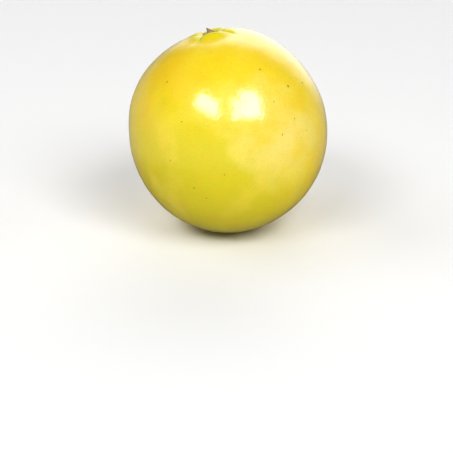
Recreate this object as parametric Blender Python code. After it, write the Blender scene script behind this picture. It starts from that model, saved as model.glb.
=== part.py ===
"""A whole sweet lime: the fruit, lying on a small flat spot, and the dry calyx on its stem end.

Both pieces are shaped in the growth frame: origin at the fruit's centre, +Z out through the stem,
azimuth 0 along +X. The empty "lean" tips that frame to the way the fruit lies and sets the flat
spot on z = 0, under the middle of the whole lime. Units are metres and, where named so, degrees.
"""

import math

import bmesh
import bpy
from mathutils import Matrix, Vector

# The plain body
FRUIT_WIDTH = 0.0680
STEM_HALF_LENGTH = 0.0354
STYLAR_HALF_LENGTH = 0.0352

# Broad swells and hollows of the body: angle from the stem, azimuth, height
SWELLS = (
    (59.0, 175.0, 0.0006),
    (24.0, 37.0, 0.0006),
    (58.0, 12.0, -0.0003),
    (157.0, -33.0, -0.0004),
    (80.0, 95.0, 0.0003),
    (110.0, 150.0, -0.0003),
)
SWELL_REACH_DEG = 18.0

# How it lies: the stem end leans this far from straight up, towards this azimuth
LEAN_DEG = 11.5
LEAN_TOWARDS_DEG = 149.0
REST_SPOT_WIDTH = 0.0100

# Stem end: folds of rind stand round the calyx in a faint basin, with furrows between them
BASIN_DEPTH = 0.0009
BASIN_REACH = 0.0110
FOLD_HEIGHT = 0.0006
FOLD_MIDDLE = 0.0056
FOLD_REACH = 0.0026
BIG_FOLD_HEIGHT = 0.0011
BIG_FOLD_AZIMUTH_DEG = -80.0
BIG_FOLD_SPREAD_DEG = 40.0
FURROW_AZIMUTHS_DEG = (-127.0, -26.0, 42.0, 108.0, 170.0)
FURROW_DEPTH = 0.0007
FURROW_WIDTH = 0.0010
FURROW_MIDDLE = 0.0064
FURROW_REACH = 0.0030

# Stylar end: the round scar that the style leaves, in a faint dimple
DIMPLE_DEPTH = 0.0004
DIMPLE_REACH = 0.0022
SCAR_HEIGHT = 0.0003
SCAR_REACH = 0.0012

# Calyx: a star of five short sepals with the snapped stub of the stalk on it
SEPALS = 5
SEPAL_AZIMUTH_DEG = 20.0
CALYX_RADIUS = 0.0029
SEPAL_NOTCH = 0.30
CALYX_RIM = 0.00035
CALYX_CROWN = 0.00060
STUB_WIDTH = 0.0018
STUB_TIP_WIDTH = 0.0008
STUB_HEIGHT = 0.0010
STUB_SLANT = 0.0004
STUB_LEAN = 0.0005
STUB_LEAN_AZIMUTH_DEG = 190.0

# The calyx's level seat inside the folds
SEAT_DEPTH = 0.0010
SEAT_MARGIN = 0.0004
SEAT_EASE = 0.0012
SEAT_GAP = 0.0003

# Mesh detail
FRUIT_SEGMENTS = 72
FRUIT_RINGS = 56
RINGS_CROWDED_TO_ENDS = 0.65
CALYX_SEGMENTS = 60

MATERIALS = {
    "rind": ((0.86, 0.66, 0.04, 1.0), 0.30),
    "calyx": ((0.26, 0.19, 0.09, 1.0), 0.85),
}


def bell(distance, reach, power=2):
    """1 at distance 0, falling smoothly to about a third at reach; a higher power has a flatter top."""
    return math.exp(-((abs(distance) / reach) ** power))


def ease(share):
    """Smooth step from 0 to 1."""
    share = min(max(share, 0.0), 1.0)
    return share * share * (3 - 2 * share)


def direction(polar, azimuth):
    """Unit vector at this angle from the stem and this azimuth."""
    across = math.sin(polar)
    return Vector((across * math.cos(azimuth), across * math.sin(azimuth), math.cos(polar)))


def azimuth_from(azimuth, degrees):
    """How far an azimuth is from one given in degrees, from -pi to pi."""
    return math.remainder(azimuth - math.radians(degrees), math.tau)


def body_radius(polar, azimuth):
    """The plain body, a spheroid a little longer towards the stem, with its swells."""
    half_length = STEM_HALF_LENGTH if polar < math.pi / 2 else STYLAR_HALF_LENGTH
    across = math.sin(polar) / (FRUIT_WIDTH / 2)
    along = math.cos(polar) / half_length
    radius = 1 / math.hypot(across, along)
    way = direction(polar, azimuth)
    for swell_polar, swell_azimuth, height in SWELLS:
        swell_way = direction(math.radians(swell_polar), math.radians(swell_azimuth))
        radius += height * bell(way.angle(swell_way), math.radians(SWELL_REACH_DEG))
    return radius


def stem_end(from_stem, azimuth):
    """What the basin, the folds and the furrows add at this distance over the skin from the stem."""
    from_big_fold = azimuth_from(azimuth, BIG_FOLD_AZIMUTH_DEG)
    fold = FOLD_HEIGHT + BIG_FOLD_HEIGHT * bell(from_big_fold, math.radians(BIG_FOLD_SPREAD_DEG))
    added = fold * bell(from_stem - FOLD_MIDDLE, FOLD_REACH)
    added -= BASIN_DEPTH * bell(from_stem, BASIN_REACH)
    along_furrow = bell(from_stem - FURROW_MIDDLE, FURROW_REACH)
    for furrow_azimuth in FURROW_AZIMUTHS_DEG:
        aside = from_stem * azimuth_from(azimuth, furrow_azimuth)
        added -= FURROW_DEPTH * along_furrow * bell(aside, FURROW_WIDTH)
    return added


def stylar_end(from_scar):
    """What the dimple and the scar in it add at this distance over the skin from the scar."""
    added = SCAR_HEIGHT * bell(from_scar, SCAR_REACH)
    return added - DIMPLE_DEPTH * bell(from_scar, DIMPLE_REACH, power=4)


def seat_height():
    """Height of the calyx's seat over the fruit's centre."""
    return STEM_HALF_LENGTH - SEAT_DEPTH


def skin_radius(polar, azimuth):
    """Distance from the fruit's centre to its skin; level across the calyx's seat."""
    from_stem = polar * STEM_HALF_LENGTH
    radius = body_radius(polar, azimuth) + stem_end(from_stem, azimuth)
    radius += stylar_end((math.pi - polar) * STYLAR_HALF_LENGTH)
    outside_seat = ease((from_stem - CALYX_RADIUS - SEAT_MARGIN) / SEAT_EASE)
    if outside_seat == 1.0:
        return radius
    seat_radius = seat_height() / math.cos(polar)
    return seat_radius + outside_seat * (radius - seat_radius)


def make_material(name):
    colour, roughness = MATERIALS[name]
    material = bpy.data.materials.new(name)
    material.use_nodes = True
    shader = material.node_tree.nodes["Principled BSDF"]
    shader.inputs["Base Color"].default_value = colour
    shader.inputs["Roughness"].default_value = roughness
    shader.inputs["Metallic"].default_value = 0.0
    return material


def make_object(name, shape, parent, material_name):
    """Turns a bmesh into a smooth-shaded object under parent."""
    bmesh.ops.recalc_face_normals(shape, faces=shape.faces)
    mesh = bpy.data.meshes.new(name)
    shape.to_mesh(mesh)
    shape.free()
    mesh.shade_smooth()
    mesh.set_sharp_from_angle(angle=math.radians(40))
    mesh.materials.append(make_material(material_name))
    made = bpy.data.objects.new(name, mesh)
    bpy.context.scene.collection.objects.link(made)
    made.parent = parent
    return made


def shape_fruit(down):
    """The skin as one closed body, cut level across its lowest point; down is in the growth frame."""
    shape = bmesh.new()
    bmesh.ops.create_uvsphere(shape, u_segments=FRUIT_SEGMENTS, v_segments=FRUIT_RINGS, radius=1.0)
    for vert in shape.verts:
        even = math.acos(max(-1.0, min(1.0, vert.co.z)))
        polar = even - RINGS_CROWDED_TO_ENDS * math.sin(2 * even) / 2
        azimuth = math.atan2(vert.co.y, vert.co.x)
        vert.co = direction(polar, azimuth) * skin_radius(polar, azimuth)
    lowest = max(vert.co.dot(down) for vert in shape.verts)
    spot_depth = REST_SPOT_WIDTH**2 / (4 * FRUIT_WIDTH)
    cut = bmesh.ops.bisect_plane(
        shape,
        geom=shape.verts[:] + shape.edges[:] + shape.faces[:],
        plane_co=down * (lowest - spot_depth),
        plane_no=down,
        clear_outer=True,
    )
    rim = [edge for edge in cut["geom_cut"] if isinstance(edge, bmesh.types.BMEdge)]
    bmesh.ops.holes_fill(shape, edges=rim, sides=0)
    return shape


def sepal_outline(azimuth):
    """Radius of the calyx's star at this azimuth."""
    phase = SEPALS * (azimuth - math.radians(SEPAL_AZIMUTH_DEG))
    return CALYX_RADIUS * (1 - SEPAL_NOTCH * (0.5 - 0.5 * math.cos(phase)) ** 1.5)


def calyx_ring(shape, star, width_share, height, stub=False):
    """One ring of the calyx. star is how far it follows the star and not a circle, from 0 to 1."""
    lean_azimuth = math.radians(STUB_LEAN_AZIMUTH_DEG)
    ring = []
    for step in range(CALYX_SEGMENTS):
        azimuth = math.tau * step / CALYX_SEGMENTS
        radius = width_share * (star * sepal_outline(azimuth) + (1 - star) * CALYX_RADIUS)
        place = direction(math.pi / 2, azimuth) * radius
        place.z = height
        if stub:
            place += direction(math.pi / 2, lean_azimuth) * STUB_LEAN
            place.z += STUB_SLANT * math.cos(azimuth - lean_azimuth)
        ring.append(shape.verts.new(place))
    return ring


def shape_calyx():
    """The star and the stub as one closed body, stacked up ring by ring from the seat."""
    shape = bmesh.new()
    under = seat_height() + SEAT_GAP
    stub_share = STUB_WIDTH / 2 / CALYX_RADIUS
    tip_share = STUB_TIP_WIDTH / 2 / CALYX_RADIUS
    rings = [
        calyx_ring(shape, 0.0, 0.45, under),
        calyx_ring(shape, 1.0, 0.93, under),
        calyx_ring(shape, 1.0, 1.00, under + CALYX_RIM / 2),
        calyx_ring(shape, 1.0, 0.93, under + CALYX_RIM),
        calyx_ring(shape, 0.8, 0.70, under + (CALYX_RIM + CALYX_CROWN) / 2),
        calyx_ring(shape, 0.3, (1 + stub_share) / 3, under + CALYX_CROWN),
        calyx_ring(shape, 0.0, stub_share, under + CALYX_CROWN + STUB_HEIGHT / 5),
        calyx_ring(shape, 0.0, tip_share, under + CALYX_CROWN + STUB_HEIGHT, stub=True),
    ]
    for lower, upper in zip(rings, rings[1:]):
        for step in range(CALYX_SEGMENTS):
            after = (step + 1) % CALYX_SEGMENTS
            shape.faces.new((lower[step], lower[after], upper[after], upper[step]))
    shape.faces.new(reversed(rings[0]))
    shape.faces.new(rings[-1])
    return shape


def corners_of(objects):
    """Lowest and highest corner of the objects, in the world."""
    places = [made.matrix_world @ vert.co for made in objects for vert in made.data.vertices]
    low = Vector(min(place[axis] for place in places) for axis in range(3))
    high = Vector(max(place[axis] for place in places) for axis in range(3))
    return low, high


def main():
    for old in list(bpy.data.objects):
        bpy.data.objects.remove(old)

    towards = math.radians(LEAN_TOWARDS_DEG)
    tip_axis = Vector((-math.sin(towards), math.cos(towards), 0.0))
    tip = Matrix.Rotation(math.radians(LEAN_DEG), 3, tip_axis)
    lean = bpy.data.objects.new("lean", None)
    bpy.context.scene.collection.objects.link(lean)
    lean.rotation_euler = tip.to_euler()

    down = tip.transposed() @ Vector((0.0, 0.0, -1.0))
    pieces = [
        make_object("fruit", shape_fruit(down), lean, "rind"),
        make_object("calyx", shape_calyx(), lean, "calyx"),
    ]

    bpy.context.view_layer.update()
    low, high = corners_of(pieces)
    lean.location = (-(low.x + high.x) / 2, -(low.y + high.y) / 2, -low.z)
    bpy.context.view_layer.update()


main()
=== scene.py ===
"""The looks of a whole sweet lime: a fine rind with its oil glands, and the dry calyx on its stem end.

Both pieces follow the shape of the CAD solids that they stand for. They are made in the growth
frame, with the origin at the fruit's centre and +Z out through the stem, and are then placed on the
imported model's own boxes. Units are metres and, where named so, degrees. Colours are linear RGBA.
"""

import math

import bmesh
import bpy
import numpy as np
from mathutils import Matrix, Vector, noise


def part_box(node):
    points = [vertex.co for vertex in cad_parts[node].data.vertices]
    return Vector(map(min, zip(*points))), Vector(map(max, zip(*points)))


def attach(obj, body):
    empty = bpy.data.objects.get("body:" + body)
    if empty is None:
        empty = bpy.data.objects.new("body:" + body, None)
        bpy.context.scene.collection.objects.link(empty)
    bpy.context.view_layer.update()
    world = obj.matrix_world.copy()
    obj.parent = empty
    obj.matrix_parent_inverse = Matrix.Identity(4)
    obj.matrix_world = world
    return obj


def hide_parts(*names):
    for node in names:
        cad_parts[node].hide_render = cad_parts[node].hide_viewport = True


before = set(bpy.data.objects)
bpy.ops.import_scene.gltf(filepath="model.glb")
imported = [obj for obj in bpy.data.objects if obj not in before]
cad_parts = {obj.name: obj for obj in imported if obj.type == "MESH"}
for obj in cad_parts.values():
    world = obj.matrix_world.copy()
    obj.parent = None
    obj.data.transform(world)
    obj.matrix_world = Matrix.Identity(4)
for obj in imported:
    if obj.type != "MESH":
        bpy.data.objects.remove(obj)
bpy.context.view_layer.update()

# Shape of the fruit, as in the CAD solid. A swell has its angle from the stem, azimuth and height.
FRUIT_WIDTH = 0.0680
STEM_HALF_LENGTH = 0.0354
STYLAR_HALF_LENGTH = 0.0352
SWELLS = (
    (59.0, 175.0, 0.0006),
    (24.0, 37.0, 0.0006),
    (58.0, 12.0, -0.0003),
    (157.0, -33.0, -0.0004),
    (80.0, 95.0, 0.0003),
    (110.0, 150.0, -0.0003),
)
SWELL_REACH_DEG = 18.0
LEAN_DEG = 11.5
LEAN_TOWARDS_DEG = 149.0
REST_SPOT_WIDTH = 0.0100
BASIN_DEPTH = 0.0009
BASIN_REACH = 0.0110
FOLD_HEIGHT = 0.0006
FOLD_MIDDLE = 0.0056
FOLD_REACH = 0.0026
BIG_FOLD_HEIGHT = 0.0011
BIG_FOLD_AZIMUTH_DEG = -80.0
BIG_FOLD_SPREAD_DEG = 40.0
FURROW_AZIMUTHS_DEG = (-127.0, -26.0, 42.0, 108.0, 170.0)
FURROW_DEPTH = 0.0007
FURROW_WIDTH = 0.0010
FURROW_MIDDLE = 0.0064
FURROW_REACH = 0.0030
DIMPLE_DEPTH = 0.0004
DIMPLE_REACH = 0.0022
SCAR_HEIGHT = 0.0003
SCAR_REACH = 0.0012
CALYX_RADIUS = 0.0029
SEAT_DEPTH = 0.0010
SEAT_MARGIN = 0.0004

# Softer than in the CAD solid: the slope out of the calyx's seat, and the furrows, which bend
SEAT_EASE = 0.0022
FURROW_BEND = 0.0005
FURROW_BEND_LENGTH = 0.0085

# Fine relief of the rind
PORES = 18000
PORE_SHAKE = 0.13
PORE_DEPTH = 0.000060
PORE_DEPTH_SPREAD = 0.30
PORE_LEAST = 0.1
WAVES = 40
WAVE_LENGTHS = (0.007, 0.022)
WAVE_HEIGHT = 0.000045
RELIEF_SEED = 11

# Small blemishes on the skin: azimuth from the front towards +X, elevation, radius
BLEMISHES = (
    (49, 40, 0.00042),
    (31, 54, 0.00036),
    (67, 38, 0.00034),
    (32, 34, 0.00028),
    (44, 22, 0.00030),
    (52, 13, 0.00028),
    (33, 15, 0.00030),
    (-52, 42, 0.00034),
    (-29, 23, 0.00026),
    (-34, 0, 0.00030),
    (-20, -15, 0.00032),
    (-13, -21, 0.00026),
    (-2, -5, 0.00028),
)

# Patches of a deeper gold, in the same terms
SUNNY_PATCHES = ((45, 74, 0.0065), (-65, 49, 0.0080), (-53, 21, 0.0075))

# Colours of the rind, and the ways its sides face: greener with painted shade towards the lower left
# front, and a painted creamy sheen towards the right front
GOLDEN = (0.80, 0.602, 0.012, 1.0)
DEEP_GOLD = (0.78, 0.52, 0.002, 1.0)
# A greener rind colour that is also darker, as painted shade, laid on the lower left front side
GREENISH_SHADED = (0.66, 0.565, 0.003, 1.0)
GREEN_AND_SHADED_SIDE = (-0.30, -0.86, -0.42)
PALE = (0.80, 0.65, 0.045, 1.0)
# A paler, bluer wash on the side that faces the right front lights: a painted sheen
CREAM_PAINTED_SHEEN = (0.80, 0.66, 0.19, 1.0)
PAINTED_SHEEN_SIDE = (0.50, -0.80, 0.33)
STEM_END = (0.60, 0.53, 0.001, 1.0)
STEM_END_REACH = 0.0080
GLAND = (0.50, 0.37, 0.002, 1.0)
BLEMISH = (0.20, 0.13, 0.02, 1.0)
SCAR_SPOT_RADIUS = 0.0009

# Specks strewn over the skin: at most one to a cell, in the cells whose lot is over the least one
SPECK_CELLS = 150.0
SPECK_LEAST_LOT = 0.86
SPECK_EDGE = (0.05, 0.02)
SPECK_FRAY = 0.0006
SPECK_FRAY_SCALE = 1800.0

# Gloss of the rind: a waxy coat over soft, slightly translucent skin
RIND_GLOSS = {
    "IOR": 1.45,
    "Specular IOR Level": 0.55,
    "Subsurface Weight": 0.12,
    "Subsurface Radius": (1.0, 0.55, 0.08),
    "Subsurface Scale": 0.0015,
    "Coat Roughness": 0.16,
    "Coat IOR": 1.68,
}
STEM_END_COAT = 0.35
RIND_BUMP = {"Strength": 0.25, "Distance": 0.00008}

# The calyx
SEPALS = 5
SEPAL_AZIMUTH_DEG = 20.0
SEPAL_NOTCH = 0.48
SEPAL_TIP_WEAR = 0.16
SEPAL_UNEVEN = 0.10
SEPAL_UNEVEN_FINENESS = 1.6
SEPAL_UNEVEN_LAYER = 7.0
SEPAL_RAGGED = 0.035
CALYX_SEGMENTS = 150
CALYX_STEPS = 6
CALYX_LIFT = 0.00004
STUB_LEAN = 0.0005
STUB_LEAN_AZIMUTH_DEG = 190.0
STUB_SLANT = 0.0004
MIDRIB_HEIGHT = 0.00016
NOTCH_SINK = 0.00005
CRUMPLE_HEIGHT = 0.00013
VEIN_HEIGHT = 0.00006
FIBRE_HEIGHT = 0.00014
FIBRE_SHARE = 0.16
FIBRE_SHADE = 0.6
CALYX_DARK = (0.19, 0.122, 0.055, 1.0)
CALYX_TAN = (0.42, 0.30, 0.155, 1.0)
CALYX_OLIVE = (0.30, 0.26, 0.06, 1.0)
CALYX_BUMP = {"Strength": 0.6, "Distance": 0.00012}

# Grain of the calyx: how fine it is round the calyx and outwards or upwards, and its noise's settings
RAGGED_EDGE = {"fineness": (9.0, 3.0), "roughness": 0.8, "octaves": 3}
CRUMPLES = {"fineness": (3.0, 1.2), "roughness": 0.8, "octaves": 4}
CRUMPLE_AT_MIDDLE = 0.4
VEINS = {"fineness": (14.0, 0.8), "roughness": 0.7, "octaves": 3}
FIBRES = {"fineness": (9.0, 900.0), "roughness": 0.7, "octaves": 3}

# Share of the star's radius, height over the seat, and how far the outline follows the star
CALYX_PROFILE = (
    (0.20, 0.00000, 0.0),
    (0.88, 0.00002, 1.0),
    (0.99, 0.00014, 1.0),
    (0.93, 0.00030, 1.0),
    (0.70, 0.00040, 0.95),
    (0.50, 0.00058, 0.7),
    (0.37, 0.00085, 0.3),
    (0.31, 0.00118, 0.1),
    (0.25, 0.00160, 0.0),
    (0.17, 0.00186, 0.0),
    (0.03, 0.00180, 0.0),
)

# The profile's rows where the stub grows out of the sepals and where it is snapped off
CROWN_ROW = 5
TIP_ROW = -2

# The camera, and how far the fruit's middle stands off the lens's axis
VIEW_ELEVATION_DEG = 20.0
VIEW_DISTANCE = 0.65
VIEW_REACH = (0.01, 20.0)
LENS_MM = 150.0
SENSOR_WIDTH_MM = 36.0
ABOVE_AXIS_DEG = 2.95
RIGHT_OF_AXIS_DEG = 0.05

# The floor
FLOOR_HUB_RADIUS = 0.02
FLOOR_FLAT_RADIUS = 0.90
FLOOR_RADIUS = 2.00
FLOOR_SWEEP_RADIUS = 2.00
FLOOR_FLAT_RINGS = 12
FLOOR_SWEEP_RINGS = 40
FLOOR_SEGMENTS = 96
FLOOR_LOOK = {"Base Color": (0.78, 0.78, 0.78, 1.0), "Roughness": 0.9, "Specular IOR Level": 0.1}

# Softboxes that the rind mirrors: name, way from the fruit, width and height, radiance, roll in degrees
SOFTBOX_DISTANCE = 2.0
SOFTBOXES = (
    ("left_softbox", (-0.384, -0.632, 0.673), (1.02, 0.56), 8.0, 170.0),
    ("right_softbox", (0.440, -0.590, 0.672), (0.74, 1.06), 7.0, -12.0),
    ("low_softbox", (0.188, -0.744, 0.641), (0.40, 0.62), 7.0, -12.0),
)

# Large fills that it doesn't mirror: name, way from the fruit, radiance
FILL_DISTANCE = 2.2
FILL_SIZE = (2.0, 1.2)
FILLS = (
    ("left_fill", (-0.74, 0.05, 0.67), 1.7),
    ("right_fill", (0.90, -0.10, 0.42), 0.65),
    ("back_fill", (0.0, 0.90, 0.44), 1.0),
)

# The room's own light: a glow on the backdrop and a faint band at the horizon
BACKDROP_WAY = (0.22, 0.91, 0.35)
GLOW_SPAN = (0.79, 1.0)
ROOM_STRENGTH = 0.10
GLOW_STRENGTH = 1.6
HORIZON_FOOT = (-0.56, -0.32)
HORIZON_TOP = (0.30, 0.05)
HORIZON_STRENGTH = 0.22


def bell(distance, reach, power=2):
    """1 at distance 0, falling smoothly to about a third at reach; a higher power has a flatter top."""
    return np.exp(-((np.abs(distance) / reach) ** power))


def ease(share):
    """Smooth step from 0 to 1."""
    share = np.clip(share, 0.0, 1.0)
    return share * share * (3 - 2 * share)


def way_to(polar_deg, azimuth_deg):
    """Unit vector at this angle from the stem and this azimuth, in degrees."""
    polar, azimuth = math.radians(polar_deg), math.radians(azimuth_deg)
    across = math.sin(polar)
    return np.array([across * math.cos(azimuth), across * math.sin(azimuth), math.cos(polar)])


def azimuth_from(azimuth, degrees):
    """How far azimuths are from one given in degrees, from -pi to pi."""
    return (azimuth - math.radians(degrees) + math.pi) % math.tau - math.pi


def unit(vectors):
    """Each row made one long."""
    return vectors / np.linalg.norm(vectors, axis=1, keepdims=True)


def skin_radius(ways):
    """Distance from the fruit's centre to its smooth skin along unit vectors."""
    polar = np.arccos(np.clip(ways[:, 2], -1.0, 1.0))
    azimuth = np.arctan2(ways[:, 1], ways[:, 0])
    half_length = np.where(polar < math.pi / 2, STEM_HALF_LENGTH, STYLAR_HALF_LENGTH)
    radius = 1 / np.hypot(np.sin(polar) / (FRUIT_WIDTH / 2), np.cos(polar) / half_length)
    for swell_polar, swell_azimuth, height in SWELLS:
        apart = np.arccos(np.clip(ways @ way_to(swell_polar, swell_azimuth), -1.0, 1.0))
        radius += height * bell(apart, math.radians(SWELL_REACH_DEG))

    from_stem = polar * STEM_HALF_LENGTH
    from_big_fold = azimuth_from(azimuth, BIG_FOLD_AZIMUTH_DEG)
    fold = FOLD_HEIGHT + BIG_FOLD_HEIGHT * bell(from_big_fold, math.radians(BIG_FOLD_SPREAD_DEG))
    radius += fold * bell(from_stem - FOLD_MIDDLE, FOLD_REACH)
    radius -= BASIN_DEPTH * bell(from_stem, BASIN_REACH)
    for furrow_azimuth in FURROW_AZIMUTHS_DEG:
        bend_phase = furrow_azimuth  # any number that differs from furrow to furrow
        bend = FURROW_BEND * np.sin(math.tau * from_stem / FURROW_BEND_LENGTH + bend_phase)
        aside = from_stem * azimuth_from(azimuth, furrow_azimuth) + bend
        along = bell(from_stem - FURROW_MIDDLE, FURROW_REACH)
        radius -= FURROW_DEPTH * along * bell(aside, FURROW_WIDTH)

    from_scar = (math.pi - polar) * STYLAR_HALF_LENGTH
    radius += SCAR_HEIGHT * bell(from_scar, SCAR_REACH)
    radius -= DIMPLE_DEPTH * bell(from_scar, DIMPLE_REACH, power=4)
    return radius


def outside_seat(ways):
    """0 on the calyx's level seat, easing to 1 round it."""
    from_stem = np.arccos(np.clip(ways[:, 2], -1.0, 1.0)) * STEM_HALF_LENGTH
    return ease((from_stem - CALYX_RADIUS - SEAT_MARGIN) / SEAT_EASE)


def with_seat(ways, radius):
    """The radii with the calyx's level seat let into them."""
    outside = outside_seat(ways)
    # Far from the seat, where the level has no say, 0.5 keeps this clear of dividing by 0.
    level = (STEM_HALF_LENGTH - SEAT_DEPTH) / np.maximum(ways[:, 2], 0.5)
    return level + outside * (radius - level)


def lean_matrix():
    """Turns the growth frame to the way the fruit lies."""
    towards = math.radians(LEAN_TOWARDS_DEG)
    axis = Vector((-math.sin(towards), math.cos(towards), 0.0))
    return Matrix.Rotation(math.radians(LEAN_DEG), 3, axis)


def spiral_over_sphere(count):
    """Unit vectors spread evenly over the sphere."""
    step = np.arange(count) + 0.5
    height = 1 - 2 * step / count
    turn = step * math.pi * (3 - math.sqrt(5))
    across = np.sqrt(1 - height**2)
    return np.stack([across * np.cos(turn), across * np.sin(turn), height], axis=1)


def pore_ways(draw):
    """Unit vectors to the oil glands, evenly spread and then shaken."""
    spacing = math.sqrt(4 * math.pi / PORES)
    shake = draw.normal(size=(PORES, 3)) * PORE_SHAKE * spacing
    return unit(spiral_over_sphere(PORES) + shake)


def net_over(ways):
    """Triangles that join unit vectors into one closed net."""
    shape = bmesh.new()
    for way in ways:
        shape.verts.new(way)
    bmesh.ops.convex_hull(shape, input=shape.verts)
    shape.verts.index_update()
    triangles = np.array([[vert.index for vert in face.verts] for face in shape.faces])
    shape.free()
    return triangles


def split_in_four(ways, triangles):
    """Adds a point on the middle of every side of the net and makes four triangles of each."""
    sides = np.sort(triangles[:, [0, 1, 1, 2, 2, 0]].reshape(-1, 2), axis=1)
    pairs, which = np.unique(sides, axis=0, return_inverse=True)
    a, b, c = triangles.T
    ab, bc, ca = (len(ways) + which.reshape(-1, 3)).T
    corners = ((a, ab, ca), (ab, b, bc), (ca, bc, c), (ab, bc, ca))
    split = np.concatenate([np.stack(corner, axis=1) for corner in corners])
    return np.concatenate([ways, unit(ways[pairs].sum(axis=1))]), split


def waves_over(ways, draw):
    """Faint uneven swells of the skin, as a sum of plane waves with a mean square of 1."""
    lengths = draw.uniform(*WAVE_LENGTHS, size=WAVES)
    pull = unit(draw.normal(size=(WAVES, 3))) * (math.tau * FRUIT_WIDTH / 2 / lengths)[:, None]
    phase = draw.uniform(0, math.tau, size=WAVES)
    return np.cos(ways @ pull.T + phase).sum(axis=1) * math.sqrt(2 / WAVES)


def mesh_object(name, points, faces):
    """A smooth-shaded mesh object made of points and faces."""
    mesh = bpy.data.meshes.new(name)
    corners = [tuple(map(int, face)) for face in faces]
    mesh.from_pydata([tuple(point) for point in points], [], corners)
    mesh.update()
    mesh.shade_smooth()
    made = bpy.data.objects.new(name, mesh)
    bpy.context.scene.collection.objects.link(made)
    return made


def make_rind():
    """The rind, and the shift that set it on the CAD solid's place."""
    draw = np.random.default_rng(RELIEF_SEED)
    pores = pore_ways(draw)
    ways, triangles = split_in_four(pores, net_over(pores))
    is_pore = np.arange(len(ways)) < PORES
    strength = np.maximum(draw.normal(1.0, PORE_DEPTH_SPREAD, size=len(ways)), PORE_LEAST) * is_pore

    relief = WAVE_HEIGHT * waves_over(ways, draw) - PORE_DEPTH * strength
    radius = with_seat(ways, skin_radius(ways) + relief * outside_seat(ways))
    turned = (ways * radius[:, None]) @ np.array(lean_matrix()).T
    spot_depth = REST_SPOT_WIDTH**2 / (4 * FRUIT_WIDTH)
    low = turned[:, 2].min() + spot_depth
    turned[:, 2] = np.maximum(turned[:, 2], low)

    box_low, box_high = (np.array(corner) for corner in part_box("fruit"))
    shift = (box_low + box_high) / 2 - (turned.min(axis=0) + turned.max(axis=0)) / 2
    shift[2] = box_low[2] - low
    rind = mesh_object("rind", turned + shift, triangles)
    attribute = rind.data.attributes.new("pore", "FLOAT", "POINT")
    attribute.data.foreach_set("value", strength.astype(np.float32))
    return rind, Vector(shift)


def curve_through(points, steps):
    """Rows along a smooth curve through the given rows, with this many steps between each two."""
    points = np.array(points)
    before, after = 2 * points[0] - points[1], 2 * points[-1] - points[-2]
    guided = np.vstack([before, points, after])
    rows = []
    for a, b, c, d in zip(guided, guided[1:], guided[2:], guided[3:]):
        for share in np.arange(steps) / steps:
            bend = (2 * a - 5 * b + 4 * c - d) * share**2 + (3 * b - a - 3 * c + d) * share**3
            rows.append(b + ((c - a) * share + bend) / 2)
    return np.array(rows + [points[-1]])


def level_way(azimuth):
    """Level unit vector at this azimuth, in radians."""
    return Vector((math.cos(azimuth), math.sin(azimuth), 0.0))


def grain_at(out, along, fineness, roughness, octaves):
    """Fractal noise at this way out and this far along, twice as fine in each further octave."""
    across, length = fineness
    place = Vector((across * out.x, across * out.y, length * along))
    return noise.fractal(place, roughness, 2.0, octaves)


def off_midrib(azimuth):
    """0 on the midrib of a sepal, 1 in the notch between two."""
    phase = SEPALS * (azimuth - math.radians(SEPAL_AZIMUTH_DEG))
    return math.acos(math.cos(phase)) / math.pi


def star_radius(azimuth):
    """Radius of the calyx's uneven star at this azimuth: pointed sepals with worn tips."""
    aside = math.hypot(off_midrib(azimuth), SEPAL_TIP_WEAR) - SEPAL_TIP_WEAR
    out = level_way(azimuth)
    at = out * SEPAL_UNEVEN_FINENESS
    long_or_short = noise.noise(Vector((at.x, at.y, SEPAL_UNEVEN_LAYER)))
    ragged = grain_at(out, 1.0, **RAGGED_EDGE)
    uneven = 1 + SEPAL_UNEVEN * long_or_short + SEPAL_RAGGED * ragged
    return CALYX_RADIUS * (1 - SEPAL_NOTCH * aside) * uneven


def calyx_point(azimuth, share, height, star):
    """A point of the dry calyx, and how much a vein stands out there.

    The sepals lie curled on the seat, and the ribbed and slanting stub of the stalk stands on them.
    """
    crown_height = CALYX_PROFILE[CROWN_ROW][1]
    tip_share, tip_height = CALYX_PROFILE[TIP_ROW][:2]
    on_stub = float(ease((height - crown_height) / (tip_height - crown_height)))
    on_sepal = share * (1 - on_stub)
    out = level_way(azimuth)
    opening = CRUMPLE_AT_MIDDLE + share
    crumple = grain_at(out * opening, share * opening, **CRUMPLES)
    vein = grain_at(out, share, **VEINS)
    fibre = grain_at(out, height, **FIBRES)

    radius = share * (star * star_radius(azimuth) + (1 - star) * CALYX_RADIUS)
    place = out * radius * (1 + FIBRE_SHARE * fibre * on_stub)
    midrib = MIDRIB_HEIGHT * (1 - off_midrib(azimuth)) ** 3 - NOTCH_SINK
    place.z = height + (CRUMPLE_HEIGHT * crumple + VEIN_HEIGHT * vein + midrib * star) * on_sepal
    lean = level_way(math.radians(STUB_LEAN_AZIMUTH_DEG))
    place += lean * STUB_LEAN * on_stub
    slant = STUB_SLANT * out.dot(lean) * min(1.0, share / tip_share)
    place.z += (FIBRE_HEIGHT * fibre + slant) * on_stub
    return place, vein + FIBRE_SHADE * fibre * on_stub


def rings_joined(ring_count, segments):
    """Four-sided faces between rings of points that are numbered one ring after the other.

    They face out from rings that lie one above the other.
    """
    faces = []
    for ring in range(ring_count - 1):
        here = ring * segments
        above = here + segments
        for segment in range(segments):
            after = (segment + 1) % segments
            faces.append((here + segment, here + after, above + after, above + segment))
    return faces


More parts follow.
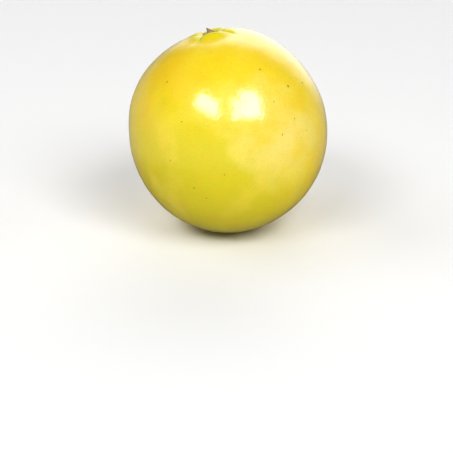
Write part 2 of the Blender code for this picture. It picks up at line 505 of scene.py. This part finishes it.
def make_calyx(shift):
    """The calyx, on its seat in the rind that shift placed."""
    rows = curve_through(CALYX_PROFILE, CALYX_STEPS)
    seat = Vector((0.0, 0.0, STEM_HALF_LENGTH - SEAT_DEPTH + CALYX_LIFT))
    turn = lean_matrix()
    points, veins = [], []
    for share, height, star in rows:
        for segment in range(CALYX_SEGMENTS):
            azimuth = math.tau * segment / CALYX_SEGMENTS
            place, vein = calyx_point(azimuth, share, max(height, 0.0), min(max(star, 0.0), 1.0))
            points.append(turn @ (place + seat) + shift)
            veins.append(vein)
    under = range(CALYX_SEGMENTS - 1, -1, -1)
    top = range(len(points) - CALYX_SEGMENTS, len(points))
    calyx = mesh_object("dry_calyx", points, rings_joined(len(rows), CALYX_SEGMENTS) + [under, top])
    attribute = calyx.data.attributes.new("vein", "FLOAT", "POINT")
    attribute.data.foreach_set("value", veins)
    return calyx


def node(tree, kind, inputs=None, **settings):
    """Adds a shader node. inputs maps a socket's name or number to a value or to what feeds it."""
    made = tree.nodes.new(kind)
    for name, value in settings.items():
        setattr(made, name, value)
    for name, value in (inputs or {}).items():
        if isinstance(value, bpy.types.NodeSocket):
            tree.links.new(value, made.inputs[name])
        else:
            made.inputs[name].default_value = value
    return made


def math_of(tree, operation, *values):
    """What a Math node makes of numbers and sockets."""
    return node(tree, "ShaderNodeMath", dict(enumerate(values)), operation=operation).outputs[0]


def vector_math(tree, operation, *values):
    """A Vector Math node on vectors and sockets."""
    return node(tree, "ShaderNodeVectorMath", dict(enumerate(values)), operation=operation)


def facing(tree, way, side):
    """1 where the way points to this side, 0 across it, -1 away from it."""
    return vector_math(tree, "DOT_PRODUCT", way, side).outputs["Value"]


def noise_of(tree, place, scale, detail=2.0, roughness=0.5, distortion=0.0):
    """Noise between 0 and 1, mostly near a half."""
    inputs = {"Vector": place, "Scale": scale, "Detail": detail, "Roughness": roughness}
    inputs["Distortion"] = distortion
    return node(tree, "ShaderNodeTexNoise", inputs).outputs["Fac"]


def spread(tree, value, low, high, to_low=0.0, to_high=1.0):
    """Maps a value's range smoothly to another one."""
    inputs = {"Value": value, 1: low, 2: high, 3: to_low, 4: to_high}
    return node(tree, "ShaderNodeMapRange", inputs, interpolation_type="SMOOTHSTEP").outputs[0]


def mixed(tree, share, first, second):
    """Colour between two, at this share."""
    return node(tree, "ShaderNodeMix", {0: share, 6: first, 7: second}, data_type="RGBA").outputs[2]


def tinted(tree, colour, tint, value, span, most=1.0):
    """The colour, turned towards a tint by up to this share as the value crosses the span."""
    return mixed(tree, spread(tree, value, *span, to_high=most), colour, tint)


def covered(tree, colour, cover, share, most):
    """The colour under a cover, which hides most of it where its share is 1."""
    return mixed(tree, math_of(tree, "MULTIPLY", share, most), colour, cover)


def near(tree, place, point, radius, soft=0.35):
    """1 within radius of a point, falling to 0 over a soft edge."""
    apart = vector_math(tree, "DISTANCE", place, tuple(point)).outputs["Value"]
    return spread(tree, apart, radius * (1 + soft), radius * (1 - soft))


def new_material(name):
    """A material, its node tree and its shader."""
    material = bpy.data.materials.new(name)
    material.use_nodes = True
    return material, material.node_tree, material.node_tree.nodes["Principled BSDF"]


def place_on(tree):
    """Object coordinates, which are the model's own."""
    return node(tree, "ShaderNodeTexCoord").outputs["Object"]


def set_inputs(shader, values):
    """Sets the shader's own sockets."""
    for name, value in values.items():
        shader.inputs[name].default_value = value


def skin_point(azimuth_deg, elevation_deg, centre):
    """A point on the skin at this azimuth from the front towards +X and this elevation."""
    azimuth, elevation = math.radians(azimuth_deg), math.radians(elevation_deg)
    flat = math.cos(elevation)
    way = Vector((flat * math.sin(azimuth), -flat * math.cos(azimuth), math.sin(elevation)))
    grown = np.array([lean_matrix().transposed() @ way])
    return centre + way * float(skin_radius(grown)[0])


def stem_point(centre):
    """The middle of the stem end."""
    return centre + lean_matrix() @ Vector((0.0, 0.0, STEM_HALF_LENGTH))


def scar_point(centre):
    """The middle of the stylar end, opposite the stem."""
    return centre - lean_matrix() @ Vector((0.0, 0.0, STYLAR_HALF_LENGTH))


def rind_colour(tree, place, centre, stem_end, mottle):
    """Golden skin, greener and darker with painted shade on the lower left front, greener at the stem,
    with a painted creamy sheen on the right front and darker glands.
    """
    way = vector_math(tree, "SUBTRACT", place, tuple(centre)).outputs["Vector"]
    way = vector_math(tree, "NORMALIZE", way).outputs["Vector"]
    cloud = noise_of(tree, place, scale=34.0, detail=3.0, distortion=0.3)
    blotch = noise_of(tree, place, scale=75.0, roughness=0.45, distortion=0.1)
    gland = node(tree, "ShaderNodeAttribute", attribute_name="pore").outputs["Fac"]

    golden = tinted(tree, GOLDEN, DEEP_GOLD, blotch, span=(0.50, 0.28), most=0.40)
    for azimuth_deg, elevation_deg, radius in SUNNY_PATCHES:
        patch = near(tree, place, skin_point(azimuth_deg, elevation_deg, centre), radius, soft=0.9)
        golden = covered(tree, golden, DEEP_GOLD, patch, most=0.7)
    clouded = math_of(tree, "MULTIPLY_ADD", cloud, 0.9, -0.45)
    # Greener and darker towards the lower left front: a greener rind there, with painted shade
    greenness_and_shade = math_of(tree, "ADD", facing(tree, way, GREEN_AND_SHADED_SIDE), clouded)
    colour = tinted(tree, golden, GREENISH_SHADED, greenness_and_shade, span=(0.36, 0.90))
    # Painted creamy sheen on the side facing the right front lights, broken up by the blotch noise
    painted_sheen = math_of(tree, "MULTIPLY_ADD", blotch, 0.5, facing(tree, way, PAINTED_SHEEN_SIDE))
    colour = tinted(tree, colour, CREAM_PAINTED_SHEEN, painted_sheen, span=(1.05, 1.36))
    colour = tinted(tree, colour, PALE, blotch, span=(0.48, 0.74), most=0.70)
    colour = tinted(tree, colour, DEEP_GOLD, mottle, span=(0.45, 0.70), most=0.25)
    colour = covered(tree, colour, STEM_END, stem_end, most=0.95)
    return tinted(tree, colour, GLAND, gland, span=(0.30, 1.1), most=0.30)


def speck_share(tree, place, centre):
    """1 on the small dark specks, both those at chosen places and those strewn over the skin."""
    inputs = {"Vector": place, "Scale": SPECK_FRAY_SCALE}
    fray = node(tree, "ShaderNodeTexNoise", inputs).outputs["Color"]
    inputs = {0: fray, "Scale": SPECK_FRAY}
    pull = node(tree, "ShaderNodeVectorMath", inputs, operation="SCALE").outputs["Vector"]
    frayed = vector_math(tree, "ADD", place, pull).outputs["Vector"]
    mean_pull = Vector((SPECK_FRAY, SPECK_FRAY, SPECK_FRAY)) / 2

    inputs = {"Vector": frayed, "Scale": SPECK_CELLS}
    cells = node(tree, "ShaderNodeTexVoronoi", inputs, feature="F1")
    lot = node(tree, "ShaderNodeSeparateColor", {0: cells.outputs["Color"]}).outputs[0]
    chosen = math_of(tree, "GREATER_THAN", lot, SPECK_LEAST_LOT)
    in_cell = spread(tree, cells.outputs["Distance"], *SPECK_EDGE)
    specks = math_of(tree, "MULTIPLY", in_cell, chosen)
    for azimuth_deg, elevation_deg, radius in BLEMISHES:
        spot_centre = skin_point(azimuth_deg, elevation_deg, centre) + mean_pull
        specks = math_of(tree, "MAXIMUM", specks, near(tree, frayed, spot_centre, radius))
    return specks


def rind_material(centre):
    """Waxy citrus skin: golden, greener with painted shade on the lower left, a painted sheen on the
    right front, glands, blemishes and a faint unevenness.
    """
    material, tree, shader = new_material("rind")
    place = place_on(tree)
    mottle = noise_of(tree, place, scale=240.0, detail=4.0, roughness=0.6, distortion=0.2)
    fine = noise_of(tree, place, scale=900.0)
    stem_end = near(tree, place, stem_point(centre), STEM_END_REACH)
    specks = speck_share(tree, place, centre)
    scar = near(tree, place, scar_point(centre), SCAR_SPOT_RADIUS, soft=0.5)

    colour = rind_colour(tree, place, centre, stem_end, mottle)
    colour = covered(tree, colour, BLEMISH, specks, most=0.7)
    colour = covered(tree, colour, BLEMISH, scar, most=0.8)
    tree.links.new(colour, shader.inputs["Base Color"])

    skin_roughness = spread(tree, mottle, 0.3, 0.7, to_low=0.34, to_high=0.44)
    roughness = math_of(tree, "MULTIPLY_ADD", specks, 0.25, skin_roughness)
    tree.links.new(roughness, shader.inputs["Roughness"])
    coat = spread(tree, stem_end, 0.0, 1.0, to_low=1.0, to_high=STEM_END_COAT)
    tree.links.new(coat, shader.inputs["Coat Weight"])
    set_inputs(shader, RIND_GLOSS)

    height = math_of(tree, "MULTIPLY", math_of(tree, "ADD", fine, mottle), 0.5)
    bump = node(tree, "ShaderNodeBump", {"Height": height, **RIND_BUMP})
    tree.links.new(bump.outputs[0], shader.inputs["Normal"])
    tree.links.new(bump.outputs[0], shader.inputs["Coat Normal"])
    return material


def calyx_material():
    """Dry woody tissue: tan to dark brown, fibrous, with a trace of olive."""
    material, tree, shader = new_material("calyx")
    place = place_on(tree)
    grain = noise_of(tree, place, scale=3600.0, detail=5.0, roughness=0.7, distortion=0.3)
    patches = noise_of(tree, place, scale=800.0, detail=3.0)
    vein = node(tree, "ShaderNodeAttribute", attribute_name="vein").outputs["Fac"]
    dryness = math_of(tree, "MULTIPLY_ADD", grain, 1.4, vein)
    colour = tinted(tree, CALYX_DARK, CALYX_TAN, dryness, span=(0.1, 1.2))
    colour = tinted(tree, colour, CALYX_OLIVE, patches, span=(0.45, 0.72), most=0.75)
    tree.links.new(colour, shader.inputs["Base Color"])
    roughness = spread(tree, grain, 0.3, 0.7, to_low=0.95, to_high=0.65)
    tree.links.new(roughness, shader.inputs["Roughness"])
    bump = node(tree, "ShaderNodeBump", {"Height": grain, **CALYX_BUMP})
    tree.links.new(bump.outputs[0], shader.inputs["Normal"])
    return material


def make_floor():
    """A plain pale floor that sweeps up all round. It is left out of reflections."""
    flat = np.linspace(FLOOR_HUB_RADIUS, FLOOR_FLAT_RADIUS, FLOOR_FLAT_RINGS)
    sweep = np.linspace(FLOOR_FLAT_RADIUS, FLOOR_RADIUS, FLOOR_SWEEP_RINGS)[1:]
    radii = np.concatenate([flat, sweep])
    points = []
    for radius in radii:
        rise = max(0.0, radius - FLOOR_FLAT_RADIUS) ** 2 / (2 * FLOOR_SWEEP_RADIUS)
        for turn in np.linspace(0, math.tau, FLOOR_SEGMENTS, endpoint=False):
            points.append((radius * math.cos(turn), radius * math.sin(turn), rise))
    hub = range(FLOOR_SEGMENTS)
    faces = [face[::-1] for face in rings_joined(len(radii), FLOOR_SEGMENTS)]  # turned to face up
    floor = mesh_object("floor", points, [hub] + faces)
    material, _, shader = new_material("floor")
    set_inputs(shader, FLOOR_LOOK)
    floor.data.materials.append(material)
    floor.visible_glossy = False


def softbox(name, target, way, distance, size, radiance, roll_deg=0.0):
    """A rectangular light that shines on the target from this direction."""
    light = bpy.data.lights.new(name, "AREA")
    light.shape = "RECTANGLE"
    light.size, light.size_y = size
    light.energy = radiance * math.pi * size[0] * size[1]
    made = bpy.data.objects.new(name, light)
    made.visible_camera = False
    bpy.context.scene.collection.objects.link(made)
    back = Vector(way).normalized()
    made.location = target + back * distance
    roll = Matrix.Rotation(math.radians(roll_deg), 3, "Z")
    made.rotation_euler = ((-back).to_track_quat("-Z", "Y").to_matrix() @ roll).to_euler()
    return made


def make_lights(target):
    """The softboxes that the rind mirrors, and large fills that it doesn't."""
    for name, way, size, radiance, roll_deg in SOFTBOXES:
        softbox(name, target, way, SOFTBOX_DISTANCE, size, radiance, roll_deg)
    for name, way, radiance in FILLS:
        fill = softbox(name, target, way, FILL_DISTANCE, FILL_SIZE, radiance)
        fill.visible_glossy = False


def make_room():
    """The world: a soft glow on the backdrop, which lights the rim, and a faint band at the horizon."""
    world = bpy.data.worlds.new("room")
    bpy.context.scene.world = world
    world.use_nodes = True
    tree = world.node_tree
    way = node(tree, "ShaderNodeTexCoord").outputs["Generated"]
    rise = node(tree, "ShaderNodeSeparateXYZ", {0: way}).outputs["Z"]
    to_backdrop = facing(tree, way, BACKDROP_WAY)
    glow = spread(tree, to_backdrop, *GLOW_SPAN, to_low=ROOM_STRENGTH, to_high=GLOW_STRENGTH)
    above_foot = spread(tree, rise, *HORIZON_FOOT, to_high=HORIZON_STRENGTH)
    below_top = spread(tree, rise, *HORIZON_TOP)
    strength = math_of(tree, "MULTIPLY_ADD", above_foot, below_top, glow)
    background = tree.nodes["Background"]
    tree.links.new(strength, background.inputs["Strength"])
    background.inputs["Color"].default_value = (1.0, 1.0, 1.0, 1.0)


def make_camera(target):
    """A long lens that looks down on the fruit, which stands above the middle of the view."""
    camera = bpy.data.cameras.new("camera")
    camera.sensor_width = SENSOR_WIDTH_MM
    camera.lens = LENS_MM
    camera.clip_start, camera.clip_end = VIEW_REACH
    made = bpy.data.objects.new("camera", camera)
    bpy.context.scene.collection.objects.link(made)
    elevation = math.radians(VIEW_ELEVATION_DEG)
    back = Vector((0.0, -math.cos(elevation), math.sin(elevation)))
    made.location = target + back * VIEW_DISTANCE
    tilt = math.radians(90.0 - VIEW_ELEVATION_DEG - ABOVE_AXIS_DEG)
    made.rotation_euler = (tilt, 0.0, math.radians(RIGHT_OF_AXIS_DEG))
    bpy.context.scene.camera = made


def main():
    rind, shift = make_rind()
    rind.data.materials.append(rind_material(shift))
    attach(rind, "root")
    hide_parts("fruit")

    calyx = make_calyx(shift)
    calyx.data.materials.append(calyx_material())
    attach(calyx, "root")
    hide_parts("calyx")

    low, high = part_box("fruit")
    middle = (low + high) / 2
    make_floor()
    make_lights(middle)
    make_room()
    make_camera(middle)
    bpy.context.scene.view_settings.view_transform = "Standard"
    bpy.context.scene.view_settings.look = "Medium High Contrast"


main()
